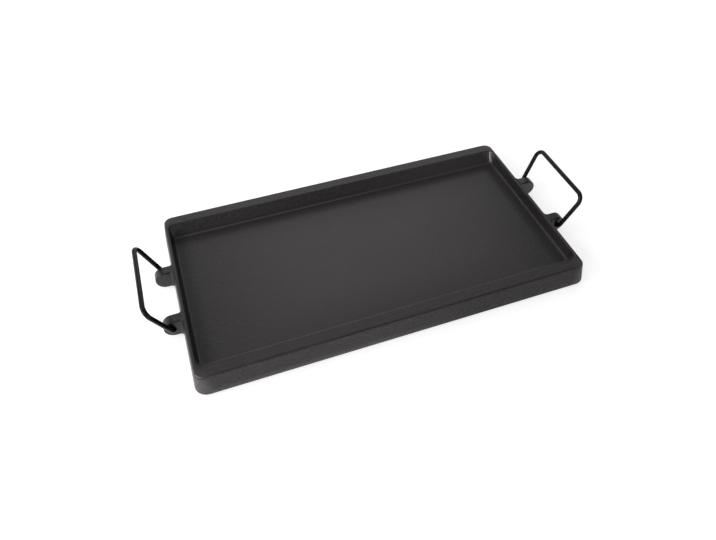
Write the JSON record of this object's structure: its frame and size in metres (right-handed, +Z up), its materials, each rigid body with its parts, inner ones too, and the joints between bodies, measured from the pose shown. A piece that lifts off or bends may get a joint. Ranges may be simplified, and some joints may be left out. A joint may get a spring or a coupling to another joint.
{
  "type": "camp griddle plate",
  "caption": "Rectangular cast iron griddle tray with a shallow sloping well, cast end lugs and swinging bent wire bail handles, for cooking over camp stove burners.",
  "frame": {"origin": "on the resting plane, under the middle of the plate", "axes": "+X along the length, towards the right handle; +Y along the width, towards the back; +Z up"},
  "size_m": [0.5796, 0.2854, 0.0696],
  "materials": {
    "iron": "pre-seasoned, fine sand-cast texture",
    "wire": "satin black"
  },
  "bodies": {
    "griddle_plate": {"griddle_plate": "iron"},
    "left_handle": {"left_handle": "wire"},
    "right_handle": {"right_handle": "wire"}
  },
  "joints": [
    {"name": "left_bail_swing", "type": "hinge", "parent": "griddle_plate", "child": "left_handle", "pos_m": [-0.2638, 0, 0.0159], "axis": [0, 1, 0], "range_deg": [-177, 60]},
    {"name": "right_bail_swing", "type": "hinge", "parent": "griddle_plate", "child": "right_handle", "pos_m": [0.2638, 0, 0.0159], "axis": [0, -1, 0], "range_deg": [-177, 60]}
  ]
}
